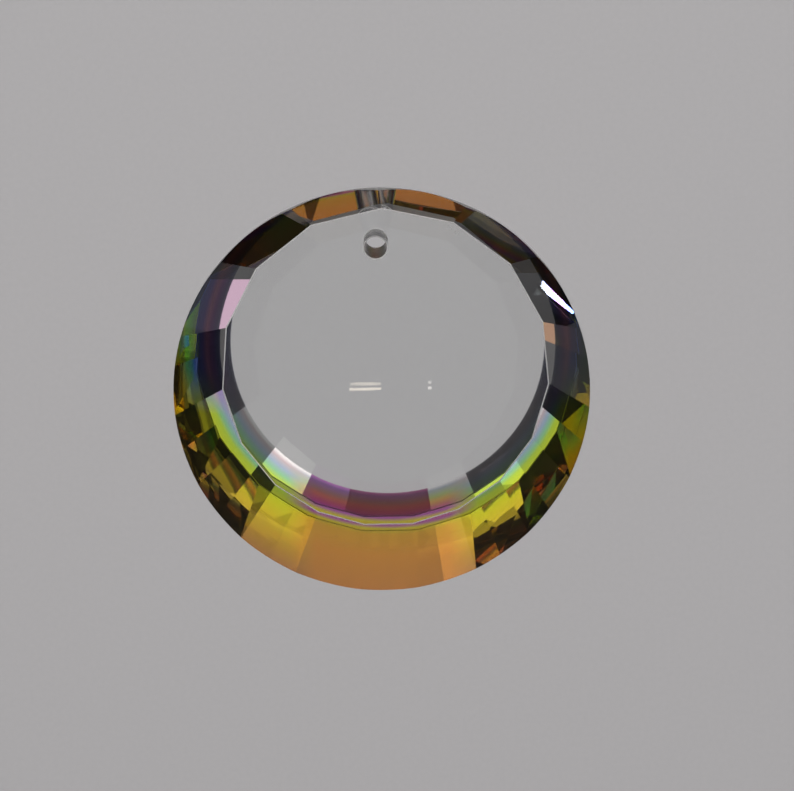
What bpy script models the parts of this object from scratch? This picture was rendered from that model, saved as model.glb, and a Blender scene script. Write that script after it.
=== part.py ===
"""Crystal suncatcher: a round disc of clear glass. The front has a flat table, off centre towards the top,
inside a ring of cut facets that are steep at the top and shallow at the foot. The back has an off-centre
flat window inside a ring of shallow coated facets. A hanging hole is drilled near the top. It hangs
upright: X across, Z up, the front faces -Y, and the middle of the hole is the origin."""

import math

import bmesh
import bpy
from mathutils import Matrix, Vector

# Sizes of the real object, in millimetres. The shape is worked out in millimetres and stored in metres.
DISC_DIAMETER = 38.0

# Front: flat table with a straight side for each facet, a corner at the top and a side at the foot.
FRONT_FACETS = 17
CROWN_WIDTH_TOP = 1.13
CROWN_WIDTH_FOOT = 7.20
CROWN_HEIGHT = 3.30
CROWN_SIDEWAYS = 0.40

# Straight edge round the disc, measured where it is thinnest, at the middle of a facet.
GIRDLE = 0.10

# Back: flat window with a straight side for each shallow facet.
BACK_FACETS = 16
BEVEL_WIDTH_TOP = 3.40
BEVEL_WIDTH_FOOT = 10.40
BEVEL_DEPTH = 1.00
BEVEL_SIDEWAYS = 0.50

# Hanging hole, drilled straight through, with a small chamfer at each end.
HOLE_DIAMETER = 2.00
HOLE_FROM_TOP = 4.75
HOLE_SIDEWAYS = -0.25
HOLE_CHAMFER = 0.10

# Straight segments that stand for each round edge.
RIM_STEPS = 192
HOLE_STEPS = 64

# Faces that meet at less than this are one smooth surface, and the facets meet at more.
SMOOTH_DEGREES = 2.5

# How far the drill runs clear of the glass at each end.
DRILL_CLEAR = 0.50

MILLIMETRES_IN_A_METRE = 1000


def disc_radius():
    return DISC_DIAMETER / 2


def thickness():
    return BEVEL_DEPTH + GIRDLE + CROWN_HEIGHT


def around(angle):
    """Direction across the disc, turned clockwise from straight up."""
    return math.sin(angle), math.cos(angle)


def corner(index, facets, width_top, width_foot, sideways, height):
    """Corner of a flat face on the cut's own ray number index, where the ray meets the circle of corners.

    The circle leaves width_top to the rim above it and width_foot below it.
    """
    across, up = around(2 * math.pi * index / facets)
    radius = (DISC_DIAMETER - width_top - width_foot) / 2
    rise = (width_foot - width_top) / 2
    reach = rise * up + math.sqrt(radius**2 - (rise * across) ** 2)
    return Vector((sideways + reach * across, reach * up, height))


def facet_planes(facets, width_top, width_foot, sideways, flat_height, rim_height):
    """Point and outward normal of each facet, through a side of the flat face and just touching the rim."""
    planes = []
    for index in range(facets):
        first = corner(index, facets, width_top, width_foot, sideways, flat_height)
        second = corner(index + 1, facets, width_top, width_foot, sideways, flat_height)
        side = (second - first).normalized()
        outward = Vector((-side.y, side.x, 0))
        if outward.dot(first) < 0:
            outward.negate()
        touch = disc_radius() * outward + Vector((0, 0, rim_height))
        normal = (touch - first).cross(side).normalized()
        if normal.dot(outward) < 0:
            normal.negate()
        planes.append((first, normal))
    return planes


def ring(bm, steps, radius, middle, height):
    """Round loop of points, clockwise from the top."""
    points = []
    for step in range(steps):
        across, up = around(2 * math.pi * step / steps)
        points.append(bm.verts.new((middle[0] + radius * across, middle[1] + radius * up, height)))
    return points


def bridge(bm, low, high):
    for step in range(len(low)):
        after = (step + 1) % len(low)
        bm.faces.new((low[step], low[after], high[after], high[step]))


def blank(bm):
    """Round disc before the facets are cut."""
    back = ring(bm, RIM_STEPS, disc_radius(), (0, 0), 0)
    front = ring(bm, RIM_STEPS, disc_radius(), (0, 0), thickness())
    bm.faces.new(back)
    bridge(bm, back, front)
    bm.faces.new(front)


def grind(bm, planes):
    """Takes off what stands outside each plane and closes the cut."""
    for point, normal in planes:
        everything = bm.verts[:] + bm.edges[:] + bm.faces[:]
        cut = bmesh.ops.bisect_plane(bm, geom=everything, plane_co=point, plane_no=normal, clear_outer=True)
        edges = [item for item in cut["geom_cut"] if isinstance(item, bmesh.types.BMEdge)]
        bmesh.ops.edgeloop_fill(bm, edges=edges)


def cut_front(bm):
    crown_foot = BEVEL_DEPTH + GIRDLE
    sizes = (FRONT_FACETS, CROWN_WIDTH_TOP, CROWN_WIDTH_FOOT, CROWN_SIDEWAYS)
    grind(bm, facet_planes(*sizes, thickness(), crown_foot))


def cut_back(bm):
    sizes = (BACK_FACETS, BEVEL_WIDTH_TOP, BEVEL_WIDTH_FOOT, BEVEL_SIDEWAYS)
    grind(bm, facet_planes(*sizes, 0, BEVEL_DEPTH))


def stand_up(bm):
    """From the working frame, x across, y up and z to the front, to the hanging one, in metres."""
    to_hole = Matrix.Translation((-HOLE_SIDEWAYS, -hole_rise(), -thickness() / 2))
    upright = Matrix.Rotation(math.pi / 2, 4, "X")
    to_metres = Matrix.Scale(1 / MILLIMETRES_IN_A_METRE, 4)
    bmesh.ops.transform(bm, matrix=to_metres @ upright @ to_hole, verts=bm.verts)
    bmesh.ops.recalc_face_normals(bm, faces=bm.faces)


def hole_rise():
    """Height of the hole above the disc's middle."""
    return disc_radius() - HOLE_FROM_TOP


def drill(bm):
    """Body of revolution that the hole takes out: the bore, and a chamfer opening outwards at each end."""
    bore = HOLE_DIAMETER / 2
    mouth = bore + HOLE_CHAMFER + DRILL_CLEAR
    profile = (
        (mouth, -DRILL_CLEAR),
        (bore, HOLE_CHAMFER),
        (bore, thickness() - HOLE_CHAMFER),
        (mouth, thickness() + DRILL_CLEAR),
    )
    rings = [ring(bm, HOLE_STEPS, radius, (HOLE_SIDEWAYS, hole_rise()), height) for radius, height in profile]
    for low, high in zip(rings, rings[1:]):
        bridge(bm, low, high)
    bm.faces.new(rings[0])
    bm.faces.new(rings[-1])


def glass():
    material = bpy.data.materials.new("clear_crystal")
    material.use_nodes = True
    shader = material.node_tree.nodes["Principled BSDF"]
    shader.inputs["Base Color"].default_value = (1.0, 1.0, 1.0, 1.0)
    shader.inputs["Roughness"].default_value = 0.0
    shader.inputs["IOR"].default_value = 1.55
    shader.inputs["Transmission Weight"].default_value = 1.0
    return material


def made(name, *steps):
    """Object made by running the steps on one mesh."""
    bm = bmesh.new()
    for step in steps:
        step(bm)
    mesh = bpy.data.meshes.new(name)
    bm.to_mesh(mesh)
    bm.free()
    item = bpy.data.objects.new(name, mesh)
    bpy.context.scene.collection.objects.link(item)
    return item


def main():
    for item in list(bpy.data.objects):
        bpy.data.objects.remove(item)
    crystal = made("crystal", blank, cut_front, cut_back, stand_up)
    hole = made("hole_cutter", drill, stand_up)
    hole.hide_render = True
    hole.display_type = "WIRE"
    boolean = crystal.modifiers.new("hanging_hole", "BOOLEAN")
    boolean.operation = "DIFFERENCE"
    boolean.solver = "EXACT"
    boolean.object = hole
    crystal.data.materials.append(glass())
    for face in crystal.data.polygons:
        face.use_smooth = True
    crystal.data.set_sharp_from_angle(angle=math.radians(SMOOTH_DEGREES))


main()
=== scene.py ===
"""Crystal suncatcher: a round disc of clear crystal with a steep-to-shallow faceted crown round a flat table,
shallow back facets under an iridescent coating round a clear window, and a drilled hanging hole."""

import math

import bmesh
import bpy
from mathutils import Matrix, Vector


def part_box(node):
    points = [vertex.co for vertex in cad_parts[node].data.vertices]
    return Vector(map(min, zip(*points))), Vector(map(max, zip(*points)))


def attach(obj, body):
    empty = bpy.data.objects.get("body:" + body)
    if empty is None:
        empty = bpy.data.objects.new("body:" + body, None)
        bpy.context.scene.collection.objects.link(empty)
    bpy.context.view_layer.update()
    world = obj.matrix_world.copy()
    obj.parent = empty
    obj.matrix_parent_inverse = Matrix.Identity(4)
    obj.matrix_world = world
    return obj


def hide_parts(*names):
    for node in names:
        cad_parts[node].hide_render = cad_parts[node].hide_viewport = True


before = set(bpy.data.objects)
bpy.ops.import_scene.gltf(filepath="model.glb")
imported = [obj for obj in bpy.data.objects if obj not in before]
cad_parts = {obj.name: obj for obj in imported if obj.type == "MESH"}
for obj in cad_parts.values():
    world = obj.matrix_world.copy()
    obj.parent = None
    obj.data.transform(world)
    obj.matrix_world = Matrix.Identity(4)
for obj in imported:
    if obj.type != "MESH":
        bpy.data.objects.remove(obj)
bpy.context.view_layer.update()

MM = 0.001

# The cut, in millimetres, seen from the front with the disc's middle at x = y = 0 and z towards the front.
FRONT_FACETS = 17
CROWN_WIDTH_TOP = 1.13
CROWN_WIDTH_FOOT = 7.20
CROWN_SIDEWAYS = 0.40
GIRDLE = 0.10
BACK_FACETS = 16
BEVEL_WIDTH_TOP = 3.40
BEVEL_WIDTH_FOOT = 10.40
BEVEL_DEPTH = 1.00
BEVEL_SIDEWAYS = 0.50
HOLE_DIAMETER = 2.00
HOLE_FROM_TOP = 4.75
HOLE_SIDEWAYS = -0.25
HOLE_CHAMFER = 0.10

# How far the drill runs clear of the crystal at each end.
DRILL_CLEAR = 0.50

# Width of the narrow arris round the table.
ARRIS = 0.11

# Straight segments that stand for the rim, for the hole, and for the rounding of the hole's chamfer.
RIM_STEPS = 900
HOLE_STEPS = 128
CHAMFER_STEPS = 4

# Faces that meet at more than this have a sharp edge between them.
SMOOTH_DEGREES = 35

# A face whose normal leaves the disc's plane by less than this belongs to the rim or to the bore.
RIM_LEAN = 0.01

# The CAD part's box, in millimetres.
low, high = (Vector(end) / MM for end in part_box("crystal"))
DIAMETER = high.x - low.x
THICKNESS = high.y - low.y
RADIUS = DIAMETER / 2
HOLE_RISE = RADIUS - HOLE_FROM_TOP

# Lead crystal bends light this much.
IOR = 1.58

# Numbers of the finishes, in the order of the crystal's material slots.
CLEAR, COATED, DRILLED, EDGE = range(4)

# Waviness of the polish: its fineness, its detail and, in metres, its depth.
POLISH_WAVES = (220.0, 2.0, 0.00002)

# Grit left by the drill, in the same terms.
DRILL_GRIT = (9000.0, 3.0, 0.00003)

# Strength of the waves on the front and on the back, and of the grit.
FRONT_WAVES = 0.01
BACK_WAVES = 0.02
GRIT_STRENGTH = 0.5

# Roughness of the drilled wall and of chipped crystal, and how clear chipped crystal is.
DRILLED_ROUGH = 0.15
CHIPPED_ROUGH = 0.7
CHIPPED_CLEAR = 0.1

# A noise adds up to one radius to the distance from a chip's middle, so that its edge is ragged. The chip
# is white where the sum is below the first of these shares of the radius, and ends at the second.
CHIP_INNER = 1.2
CHIP_OUTER = 1.5
RAGGED_SCALE = 6000.0
RAGGED_DETAIL = 2.0

# Marks: across, up, height and radius. Small pits in the table, and the chip where the drill broke through
# at the back.
TABLE_PITS = ((6.41, 15.97, THICKNESS, 0.20), (7.05, 15.50, THICKNESS, 0.17))
DRILL_CHIP = ((-0.45, 13.25, 0.20, 0.26),)

# The coating is sprayed round a circular mask over the window.
MASK_RADIUS = 14.20
MASK_RISE = 4.77
MASK_SIDEWAYS = 0.63
COATING_REACH = 9.57

# The coating sets in over this share of its reach, and is then a mirror by this share.
COATING_ONSET = 0.012
COATING_MIRROR = 0.94

# The foot's colours give way to the sides' between these distances from the hole's upright line, and both
# give way to the top's between these heights over the disc's middle.
SIDE_BLEND = (6.0, 8.5)
TOP_BLEND = (-1.5, 2.5)

# Coating from the mask's edge outwards: share of its reach, and the tint of its mirror there.
FOOT_COATING = (
    (0.000, (0.97, 1.00, 0.99)),
    (0.006, (0.80, 0.79, 0.80)),
    (0.04, (0.34, 0.38, 0.42)),
    (0.10, (0.36, 0.42, 0.16)),
    (0.15, (0.56, 0.32, 0.08)),
    (0.20, (0.50, 0.14, 0.18)),
    (0.25, (0.34, 0.08, 0.32)),
    (0.29, (0.52, 0.45, 0.02)),
    (0.36, (0.62, 0.33, 0.03)),
    (0.60, (0.68, 0.29, 0.045)),
    (1.00, (0.60, 0.245, 0.06)),
)
SIDE_COATING = (
    (0.000, (0.97, 1.00, 0.99)),
    (0.006, (0.80, 0.79, 0.80)),
    (0.05, (0.46, 0.38, 0.40)),
    (0.11, (0.28, 0.36, 0.46)),
    (0.17, (0.22, 0.46, 0.24)),
    (0.22, (0.38, 0.52, 0.05)),
    (0.35, (0.52, 0.52, 0.02)),
    (0.55, (0.60, 0.44, 0.03)),
    (0.80, (0.50, 0.28, 0.05)),
    (1.00, (0.40, 0.18, 0.08)),
)
TOP_COATING = (
    (0.000, (0.97, 1.00, 0.99)),
    (0.006, (0.60, 0.62, 0.80)),
    (0.04, (0.24, 0.26, 0.52)),
    (0.10, (0.36, 0.16, 0.50)),
    (0.16, (0.70, 0.30, 0.50)),
    (0.22, (0.18, 0.18, 0.66)),
    (0.33, (0.10, 0.26, 0.66)),
    (0.41, (0.12, 0.48, 0.42)),
    (0.50, (0.46, 0.46, 0.05)),
    (1.00, (0.70, 0.33, 0.07)),
)

# Tints of the drilled wall's speckle: place in the noise's range, and colour. The light grains are the wall's
# own drilled grain; the dark violet grains are painted shade inside the hole.
SPECKLE_AND_PAINTED_SHADE = ((0.38, (0.30, 0.24, 0.34)), (0.62, (0.88, 0.82, 0.92)))

# Camera: above the face's normal on the side of the hole, as the photograph was taken.
CAMERA_TILT = 15.16
CAMERA_ROLL = -1.2
CAMERA_SIDE = 0.55
CAMERA_DISTANCE = 400.0
SENSOR_WIDTH = 36
PIXELS_PER_MM = 10.96
IMAGE_WIDTH = 794
IMAGE_HEIGHT = 791
DISC_SEEN_AT = (381.7, 391.3)

# The backdrop, in metres: level below the crystal, then one bend up to a part that stands behind it.
BACKDROP_HALF_WIDTH = 1.2
BACKDROP_FRONT = -0.8
BACKDROP_BEHIND = 0.50
BACKDROP_BELOW = -0.90
BACKDROP_TOP = 0.8
BACKDROP_BEND = 0.25
BEND_STEPS = 16

# The paper's darkest and lightest tone, its fibres, and about the height at which it is seen behind the
# crystal.
PAPER_TONES = ((0.40, 0.39, 0.395), (0.43, 0.42, 0.425))
FIBRE_SCALE = 900.0
FIBRE_DETAIL = 4.0
PAPER_SEEN_AT = -0.156

# Faint light from the whole room.
ROOM_GLOW = (0.022, 0.022, 0.026)

DAYLIGHT = (1.0, 0.98, 0.96)
WHITE = (1.0, 1.0, 1.0)

# Windows, cards and lamps of an even brightness: turn and lean of the direction in degrees, then distance,
# width and height in metres, colour and radiance. The tinted ones bring single facets nearer the photo.
PANELS = (
    ("window_light", 0, 36, 0.8, 1.40, 0.78, DAYLIGHT, 0.74),
    ("left_window", 312, 54, 0.8, 0.60, 0.50, DAYLIGHT, 0.6),
    ("right_window", 50, 56, 0.8, 0.60, 0.50, DAYLIGHT, 0.45),
    ("side_light", 285, 37, 0.8, 0.34, 0.28, WHITE, 1.1),
    ("left_side_light", 253, 37, 0.8, 0.16, 0.16, (0.9, 1.0, 1.0), 0.7),
    ("right_side_light", 90, 39, 0.8, 0.34, 0.28, WHITE, 1.1),
    ("left_edge_card", 285, 78, 0.5, 0.34, 0.34, WHITE, 0.35),
    ("right_edge_card", 92, 82, 0.5, 0.34, 0.30, WHITE, 0.35),
    ("left_card", 272, 7.0, 0.8, 0.055, 0.10, DAYLIGHT, 0.6),
    ("front_card", 0, 2.0, 0.8, 0.09, 0.10, (1.0, 0.05, 0.50), 0.22),
    ("right_card", 94, 5.6, 0.8, 0.04, 0.08, (1.0, 0.30, 1.0), 0.45),
    ("right_lamp", 102.5, 11.0, 0.8, 0.045, 0.10, (1.0, 0.96, 0.92), 1.9),
    ("right_far_card", 112, 16.5, 0.8, 0.06, 0.12, (0.95, 1.0, 0.95), 0.35),
    ("foot_card", 180, 69, 0.3, 0.16, 0.14, (1.0, 0.80, 0.55), 0.42),
    ("pink_card", 128, 137, 0.55, 0.10, 0.11, (1.0, 0.62, 0.84), 0.62),
    ("rust_card", 232, 139, 0.55, 0.12, 0.12, (0.9, 0.42, 0.18), 0.4),
    ("low_card", 180, 15, 0.8, 0.15, 0.13, WHITE, 0.36),
)

# Lamps that light the paper from both sides: turns and lean, distance, beam in degrees, and power.
PAPER_LIGHT_TURNS = (80, 280)
PAPER_LIGHT_LEAN = 30
PAPER_LIGHT_AWAY = 0.9
PAPER_LIGHT_BEAM = 12.6
PAPER_LIGHT_POWER = 27.0

# Small lamps, each for a spark in some facets: turn, lean, size, colour and radiance.
SMALL_LAMPS_AWAY = 0.8
SMALL_LAMPS = (
    (244, 45, 0.030, (0.78, 0.88, 1.0), 25),
    (231, 44, 0.030, (1.0, 0.86, 0.96), 22),
    (240, 59, 0.035, (0.75, 0.86, 1.0), 14),
    (250, 28, 0.030, (1.0, 0.95, 0.85), 8),
)

# Lamps in front, for the streaks and dots mirrored in the table and the window: across and up in
# millimetres, width in metres, and colour.
MIRRORED_LAMPS = (
    (-12.0, -205.8, 0.0085, (1.0, 0.88, 0.70)),
    (5.5, -205.8, 0.0010, (1.0, 0.95, 0.90)),
)
MIRRORED_LAMPS_IN_FRONT = 770
MIRRORED_LAMPS_HEIGHT = 0.0008
MIRRORED_LAMPS_RADIANCE = 7


def around(angle):
    """Direction across the disc, turned clockwise from straight up."""
    return math.sin(angle), math.cos(angle)


def corner(index, facets, width_top, width_foot, sideways, height):
    """Corner of a flat face on the cut's own ray number index, where the ray meets the circle of corners.

    The circle leaves width_top to the rim above it and width_foot below it.
    """
    across, up = around(2 * math.pi * index / facets)
    radius = (DIAMETER - width_top - width_foot) / 2
    rise = (width_foot - width_top) / 2
    reach = rise * up + math.sqrt(radius**2 - (rise * across) ** 2)
    return Vector((sideways + reach * across, reach * up, height))


def facet_planes(facets, width_top, width_foot, sideways, flat_height, rim_height):
    """Point and outward normal of each facet, through a side of the flat face and just touching the rim."""
    planes = []
    for index in range(facets):
        first = corner(index, facets, width_top, width_foot, sideways, flat_height)
        second = corner(index + 1, facets, width_top, width_foot, sideways, flat_height)
        side = (second - first).normalized()
        outward = Vector((-side.y, side.x, 0))
        if outward.dot(first) < 0:
            outward.negate()
        touch = RADIUS * outward + Vector((0, 0, rim_height))
        normal = (touch - first).cross(side).normalized()
        if normal.dot(outward) < 0:
            normal.negate()
        planes.append((first, normal))
    return planes


def ring(bm, steps, radius, middle, height):
    """Round loop of points, clockwise from the top."""
    points = []
    for step in range(steps):
        across, up = around(2 * math.pi * step / steps)
        points.append(bm.verts.new((middle[0] + radius * across, middle[1] + radius * up, height)))
    return points


def bridge(bm, lower, upper):
    for step in range(len(lower)):
        after = (step + 1) % len(lower)
        bm.faces.new((lower[step], lower[after], upper[after], upper[step]))


def blank(bm):
    """Round disc before the facets are cut: clear in front, coated behind, and white and matt round its edge,
    a painted highlight.
    """
    back = ring(bm, RIM_STEPS, RADIUS, (0, 0), 0)
    front = ring(bm, RIM_STEPS, RADIUS, (0, 0), THICKNESS)
    bridge(bm, back, front)
    for face in bm.faces:
        face.material_index = EDGE
    bm.faces.new(back).material_index = COATED
    bm.faces.new(front).material_index = CLEAR


def grind(bm, point, normal, finish):
    """Takes off what stands outside the plane, and closes the cut with a face of that finish."""
    everything = bm.verts[:] + bm.edges[:] + bm.faces[:]
    cut = bmesh.ops.bisect_plane(bm, geom=everything, plane_co=point, plane_no=normal, clear_outer=True)
    edges = [item for item in cut["geom_cut"] if isinstance(item, bmesh.types.BMEdge)]
    if edges:
        bmesh.ops.edgeloop_fill(bm, edges=edges, mat_nr=finish)


def arris(bm, point, first, second):
    """Takes a narrow strip off the edge where two polished planes meet, through a point of that edge."""
    middle = (first + second).normalized()
    half_turn = first.angle(second) / 2
    depth = ARRIS / 2 * math.tan(half_turn)
    grind(bm, point - depth * middle, middle, EDGE)


def crystal_mesh():
    bm = bmesh.new()
    blank(bm)
    crown_sizes = (FRONT_FACETS, CROWN_WIDTH_TOP, CROWN_WIDTH_FOOT, CROWN_SIDEWAYS)
    crown = facet_planes(*crown_sizes, THICKNESS, BEVEL_DEPTH + GIRDLE)
    for point, normal in crown:
        grind(bm, point, normal, CLEAR)
    to_front = Vector((0, 0, 1))
    for point, normal in crown:
        arris(bm, point, normal, to_front)
    bevel_sizes = (BACK_FACETS, BEVEL_WIDTH_TOP, BEVEL_WIDTH_FOOT, BEVEL_SIDEWAYS)
    for point, normal in facet_planes(*bevel_sizes, 0, BEVEL_DEPTH):
        grind(bm, point, normal, COATED)
    return bm


def drill_mesh():
    """Body that the hole takes out: a straight bore, with a rounded chamfer opening outwards at each end."""
    bm = bmesh.new()
    bore = HOLE_DIAMETER / 2
    profile = [(bore + HOLE_CHAMFER + DRILL_CLEAR, -DRILL_CLEAR)]
    for step in range(CHAMFER_STEPS + 1):
        across, up = around(math.pi / 2 * step / CHAMFER_STEPS)
        profile.append((bore + HOLE_CHAMFER * (1 - across), HOLE_CHAMFER * (1 - up)))
    profile += [(radius, THICKNESS - height) for radius, height in reversed(profile)]
    rings = [ring(bm, HOLE_STEPS, radius, (HOLE_SIDEWAYS, HOLE_RISE), height) for radius, height in profile]
    for lower, upper in zip(rings, rings[1:]):
        bridge(bm, lower, upper)
    bm.faces.new(rings[0])
    bm.faces.new(rings[-1])
    for face in bm.faces:
        heights = [vert.co.z for vert in face.verts]
        in_bore = max(heights) - min(heights) > THICKNESS / 2
        face.material_index = DRILLED if in_bore else EDGE
    return bm


def stand_up(bm, name):
    """From the cutting frame to the hanging one, with the hole's middle at the origin, as a new object."""
    to_hole = Matrix.Translation((-HOLE_SIDEWAYS, -HOLE_RISE, -THICKNESS / 2))
    upright = Matrix.Rotation(math.pi / 2, 4, "X")
    bmesh.ops.transform(bm, matrix=Matrix.Scale(MM, 4) @ upright @ to_hole, verts=bm.verts)
    bmesh.ops.recalc_face_normals(bm, faces=bm.faces)
    mesh = bpy.data.meshes.new(name)
    bm.to_mesh(mesh)
    bm.free()
    item = bpy.data.objects.new(name, mesh)
    bpy.context.scene.collection.objects.link(item)
    return item


def in_frame(across, up, height):
    """A place of the cut, given in millimetres, in the hanging frame and in metres."""
    return Vector((across - HOLE_SIDEWAYS, THICKNESS / 2 - height, up - HOLE_RISE)) * MM


def principled(name, **values):
    """New material and its shader, with the shader's inputs set by name."""
    material = bpy.data.materials.new(name)
    material.use_nodes = True
    shader = material.node_tree.nodes["Principled BSDF"]
    for key, value in values.items():
        shader.inputs[key.replace("_", " ")].default_value = value
    return material, shader


def link(material, output, item, key):
    material.node_tree.links.new(output, item.inputs[key])


def node(material, kind, inputs=None, **settings):
    """New shader node, with its inputs set or linked by name or number."""
    made = material.node_tree.nodes.new("ShaderNode" + kind)
    for key, value in settings.items():
        setattr(made, key, value)
    for key, value in (inputs or {}).items():
        if isinstance(value, bpy.types.NodeSocket):
            link(material, value, made, key)
        else:
            made.inputs[key].default_value = value
    return made


def calculated(material, kind, operation, *values):
    """Outputs of a Math or VectorMath node."""
    return node(material, kind, dict(enumerate(values)), operation=operation).outputs


def between(material, value, start, end, first=0.0, last=1.0):
    """Goes from the first to the last as the value goes from start to end, and stays level outside."""
    span = {"Value": value, "From Min": start, "From Max": end, "To Min": first, "To Max": last}
    return node(material, "MapRange", span).outputs[0]


def tint(material, share, stops):
    ramp = node(material, "ValToRGB", {"Fac": share})
    elements = ramp.color_ramp.elements
    while len(elements) < len(stops):
        elements.new(0.5)
    for element, (position, colour) in zip(elements, stops):
        element.position = position
        element.color = (*colour, 1)
    return ramp.outputs["Color"]


def blended(material, share, first, second):
    """Colour that goes from the first to the second as the share goes from 0 to 1."""
    mix = node(material, "MixRGB", {"Fac": share, "Color1": first, "Color2": second})
    return mix.outputs["Color"]


def roughen(material, shader, texture, strength):
    """Bump of a noise on the surface. Gives back the place on the surface, and the noise."""
    scale, detail, depth = texture
    place = node(material, "TexCoord").outputs["Object"]
    noise = node(material, "TexNoise", {"Vector": place, "Scale": scale, "Detail": detail}).outputs["Fac"]
    bump = node(material, "Bump", {"Height": noise, "Strength": strength, "Distance": depth})
    link(material, bump.outputs["Normal"], shader, "Normal")
    return place, noise


def fleck(material, place, spots):
    """Share of chipped surface: 1 inside each small ragged spot, and 0 elsewhere."""
    noise = node(material, "TexNoise", {"Vector": place, "Scale": RAGGED_SCALE, "Detail": RAGGED_DETAIL})
    ragged = noise.outputs["Fac"]
    shares = []
    for across, up, height, radius in spots:
        middle = in_frame(across, up, height)
        distance = calculated(material, "VectorMath", "DISTANCE", place, middle)["Value"]
        shaken = calculated(material, "Math", "MULTIPLY_ADD", ragged, radius * MM, distance)[0]
        shares.append(between(material, shaken, CHIP_OUTER * radius * MM, CHIP_INNER * radius * MM))
    total = shares[0]
    for share in shares[1:]:
        total = calculated(material, "Math", "MAXIMUM", total, share)[0]
    return total


def chip(material, shader, place, spots, roughness):
    """Leaves the spots white and matt, as chipped crystal is. Gives back the share of chipped surface."""
    share = fleck(material, place, spots)
    link(material, between(material, share, 0.0, 1.0, 1.0, CHIPPED_CLEAR), shader, "Transmission Weight")
    link(material, between(material, share, 0.0, 1.0, roughness, CHIPPED_ROUGH), shader, "Roughness")
    return share


def clear():
    material, shader = principled("clear_crystal", IOR=IOR, Transmission_Weight=1.0, Roughness=0.0)
    place, _ = roughen(material, shader, POLISH_WAVES, FRONT_WAVES)
    chip(material, shader, place, TABLE_PITS, 0.0)
    return material


def mask_distance(material, place):
    """Distance across the disc from the middle of the coating's mask."""
    middle = in_frame(MASK_SIDEWAYS, MASK_RISE, 0)
    offset = calculated(material, "VectorMath", "SUBTRACT", place, middle)[0]
    across = calculated(material, "VectorMath", "MULTIPLY", offset, (1, 0, 1))[0]
    return calculated(material, "VectorMath", "LENGTH", across)["Value"]


def coated():
    """Crystal under the coating, which is clear inside its mask and a tinted mirror outside it."""
    material, shader = principled("coated_crystal", IOR=IOR, Transmission_Weight=1.0, Roughness=0.0)
    place, _ = roughen(material, shader, POLISH_WAVES, BACK_WAVES)
    distance = mask_distance(material, place)
    share = between(material, distance, MASK_RADIUS * MM, (MASK_RADIUS + COATING_REACH) * MM)
    parts = node(material, "SeparateXYZ", {0: place}).outputs
    sideways = calculated(material, "Math", "ABSOLUTE", parts["X"])[0]
    to_side = between(material, sideways, *(edge * MM for edge in SIDE_BLEND))
    to_top = between(material, parts["Z"], *((edge - HOLE_RISE) * MM for edge in TOP_BLEND))
    foot, side, top = (tint(material, share, stops) for stops in (FOOT_COATING, SIDE_COATING, TOP_COATING))
    colour = blended(material, to_top, blended(material, to_side, foot, side), top)
    link(material, colour, shader, "Base Color")
    link(material, between(material, share, 0.0, COATING_ONSET, 0.0, COATING_MIRROR), shader, "Metallic")
    return material


def edge_painted_highlight():
    """The arrises, the rim and the hole's chamfers are white and matt, so they catch light from all round: a
    painted highlight for the glints of their polished edges.
    """
    material, shader = principled("edge_painted_highlight", IOR=IOR, Transmission_Weight=0.2, Roughness=0.45)
    # White base colour: a painted highlight along the edges.
    shader.inputs["Base Color"].default_value = (0.98, 0.97, 0.96, 1)
    return material


def drilled():
    """Wall of the drilled hole: a speckle whose dark grains are painted shade inside the hole, a bump of
    grit, and the chip at its back end.
    """
    values = {"IOR": IOR, "Transmission_Weight": 1.0, "Roughness": DRILLED_ROUGH}
    material, shader = principled("drilled_wall", **values)
    place, grit = roughen(material, shader, DRILL_GRIT, GRIT_STRENGTH)
    # The speckle's dark grains paint the shade inside the hole; its light grains are the wall's own grain.
    speckle_and_painted_shade = tint(material, grit, SPECKLE_AND_PAINTED_SHADE)
    share = chip(material, shader, place, DRILL_CHIP, DRILLED_ROUGH)
    link(material, blended(material, share, speckle_and_painted_shade, (1, 1, 1, 1)), shader, "Base Color")
    return material


def drilled_through(body, drill):
    """The body's mesh, with the drill taken out of it."""
    cut = body.modifiers.new("hole", "BOOLEAN")
    cut.operation = "DIFFERENCE"
    cut.solver = "EXACT"
    cut.object = drill
    graph = bpy.context.evaluated_depsgraph_get()
    mesh = bpy.data.meshes.new_from_object(body.evaluated_get(graph))
    body.modifiers.clear()
    bpy.data.objects.remove(drill)
    return mesh


def make_crystal():
    body = stand_up(crystal_mesh(), "cut_crystal")
    drill = stand_up(drill_mesh(), "hole_drill")
    for material in (clear(), coated(), drilled(), edge_painted_highlight()):
        body.data.materials.append(material)
        drill.data.materials.append(material)
    mesh = drilled_through(body, drill)
    body.data = mesh
    # The sharp edges are set first, because that leaves every face smooth.
    mesh.set_sharp_from_angle(angle=math.radians(SMOOTH_DEGREES))
    for face in mesh.polygons:
        on_rim = abs(face.normal.y) < RIM_LEAN
        face.use_smooth = on_rim or face.material_index == DRILLED
    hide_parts("crystal")
    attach(body, "root")


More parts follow.
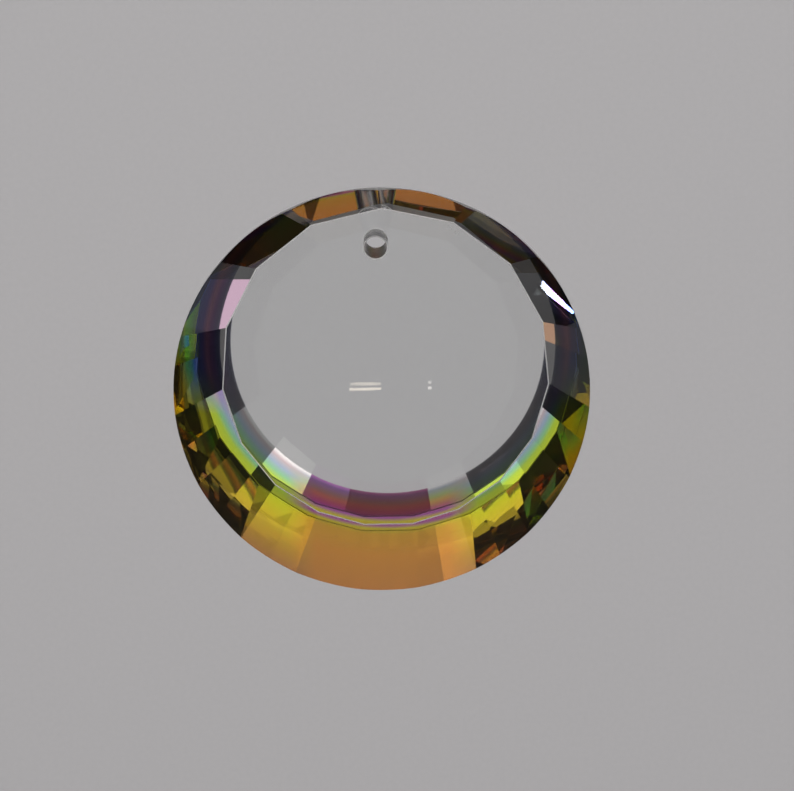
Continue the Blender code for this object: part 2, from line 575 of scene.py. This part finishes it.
def make_camera():
    tilt, roll, side = (math.radians(turn) for turn in (CAMERA_TILT, CAMERA_ROLL, CAMERA_SIDE))
    back = Vector((math.sin(side), -math.cos(tilt), math.sin(tilt))).normalized()
    up = Vector((0, 0, 1))
    up = (up - back * up.dot(back)).normalized()
    right = up.cross(back)
    turned_right = math.cos(roll) * right + math.sin(roll) * up
    turned_up = math.cos(roll) * up - math.sin(roll) * right
    data = bpy.data.cameras.new("camera")
    data.sensor_width = SENSOR_WIDTH
    data.lens = SENSOR_WIDTH * CAMERA_DISTANCE * PIXELS_PER_MM / IMAGE_WIDTH
    data.clip_start = 0.001
    data.shift_x = (IMAGE_WIDTH / 2 - DISC_SEEN_AT[0]) / IMAGE_WIDTH
    data.shift_y = -(IMAGE_HEIGHT / 2 - DISC_SEEN_AT[1]) / IMAGE_WIDTH
    camera = bpy.data.objects.new("camera", data)
    bpy.context.scene.collection.objects.link(camera)
    camera.matrix_world = Matrix((turned_right, turned_up, back)).transposed().to_4x4()
    camera.location = in_frame(0, 0, BEVEL_DEPTH + GIRDLE / 2) + back * CAMERA_DISTANCE * MM
    bpy.context.scene.camera = camera


def pale_paper():
    material, shader = principled("pale_paper", Roughness=0.9)
    place = node(material, "TexCoord").outputs["Object"]
    fibre = node(material, "TexNoise", {"Vector": place, "Scale": FIBRE_SCALE, "Detail": FIBRE_DETAIL})
    tone = node(material, "ValToRGB", {"Fac": fibre.outputs["Fac"]})
    for element, colour in zip(tone.color_ramp.elements, PAPER_TONES):
        element.color = (*colour, 1)
    link(material, tone.outputs["Color"], shader, "Base Color")
    return material


def backdrop_profile():
    """Backdrop seen from the side, as places along y and z, from its front to its top."""
    profile = [(BACKDROP_FRONT, BACKDROP_BELOW), (BACKDROP_BEHIND - BACKDROP_BEND, BACKDROP_BELOW)]
    for step in range(1, BEND_STEPS + 1):
        across, up = around(math.pi / 2 * step / BEND_STEPS)
        behind = BACKDROP_BEHIND - BACKDROP_BEND + BACKDROP_BEND * across
        profile.append((behind, BACKDROP_BELOW + BACKDROP_BEND - BACKDROP_BEND * up))
    profile.append((BACKDROP_BEHIND, BACKDROP_TOP))
    return profile


def make_stage():
    """Pale sheet that runs from a floor up into a backdrop in one soft curve."""
    bm = bmesh.new()
    ends = (-BACKDROP_HALF_WIDTH, BACKDROP_HALF_WIDTH)
    rows = [[bm.verts.new((x, y, z)) for x in ends] for y, z in backdrop_profile()]
    for lower, upper in zip(rows, rows[1:]):
        bm.faces.new((lower[0], lower[1], upper[1], upper[0])).smooth = True
    mesh = bpy.data.meshes.new("backdrop")
    bm.to_mesh(mesh)
    bm.free()
    mesh.materials.append(pale_paper())
    backdrop = bpy.data.objects.new("backdrop", mesh)
    bpy.context.scene.collection.objects.link(backdrop)


def toward(turn, lean):
    """Direction given in degrees.

    The turn is clockwise from straight up as seen from the front, and the lean is off the front's normal.
    """
    turn, lean = math.radians(turn), math.radians(lean)
    return Vector((math.sin(lean) * math.sin(turn), -math.cos(lean), math.sin(lean) * math.cos(turn)))


def put_up(name, data, place, target):
    """Light at a place, facing a target and itself not seen by the camera."""
    light = bpy.data.objects.new(name, data)
    bpy.context.scene.collection.objects.link(light)
    light.location = place
    light.rotation_euler = (place - target).to_track_quat("Z", "Y").to_euler()
    light.visible_camera = False


def panel(name, place, target, width, height, colour, radiance):
    """Soft box of an even brightness, with its sizes in metres."""
    data = bpy.data.lights.new(name, "AREA")
    data.shape = "RECTANGLE"
    data.size = width
    data.size_y = height
    data.energy = radiance * math.pi * width * height
    data.color = colour
    put_up(name, data, place, target)


def pool(name, place, target, beam, power):
    """Lamp with a soft-edged beam, for a pool of light on the paper."""
    data = bpy.data.lights.new(name, "SPOT")
    data.energy = power
    data.spot_size = math.radians(beam)
    data.spot_blend = 0.15
    data.shadow_soft_size = 0.03
    put_up(name, data, place, target)


def make_light():
    world = bpy.data.worlds.new("room")
    world.use_nodes = True
    world.node_tree.nodes["Background"].inputs["Color"].default_value = (*ROOM_GLOW, 1)
    bpy.context.scene.world = world
    middle = in_frame(0, 0, THICKNESS / 2)
    for name, turn, lean, away, width, height, colour, radiance in PANELS:
        panel(name, middle + toward(turn, lean) * away, middle, width, height, colour, radiance)
    paper = Vector((0, BACKDROP_BEHIND, PAPER_SEEN_AT))
    for turn in PAPER_LIGHT_TURNS:
        place = middle + toward(turn, PAPER_LIGHT_LEAN) * PAPER_LIGHT_AWAY
        pool("paper_light", place, paper, PAPER_LIGHT_BEAM, PAPER_LIGHT_POWER)
    for turn, lean, size, colour, radiance in SMALL_LAMPS:
        place = middle + toward(turn, lean) * SMALL_LAMPS_AWAY
        panel("small_lamp", place, middle, size, size, colour, radiance)
    for across, up, width, colour in MIRRORED_LAMPS:
        place = in_frame(across, up, MIRRORED_LAMPS_IN_FRONT)
        panel("mirrored_lamp", place, middle, width, MIRRORED_LAMPS_HEIGHT, colour, MIRRORED_LAMPS_RADIANCE)


def set_light_paths():
    """Enough bounces for light reflected many times inside the crystal, with denoising and plain colours."""
    scene = bpy.context.scene
    scene.cycles.max_bounces = 24
    scene.cycles.transmission_bounces = 24
    scene.cycles.glossy_bounces = 16
    scene.cycles.use_denoising = True
    scene.cycles.sample_clamp_indirect = 12.0
    scene.view_settings.view_transform = "Standard"


set_light_paths()
make_crystal()
make_camera()
make_stage()
make_light()
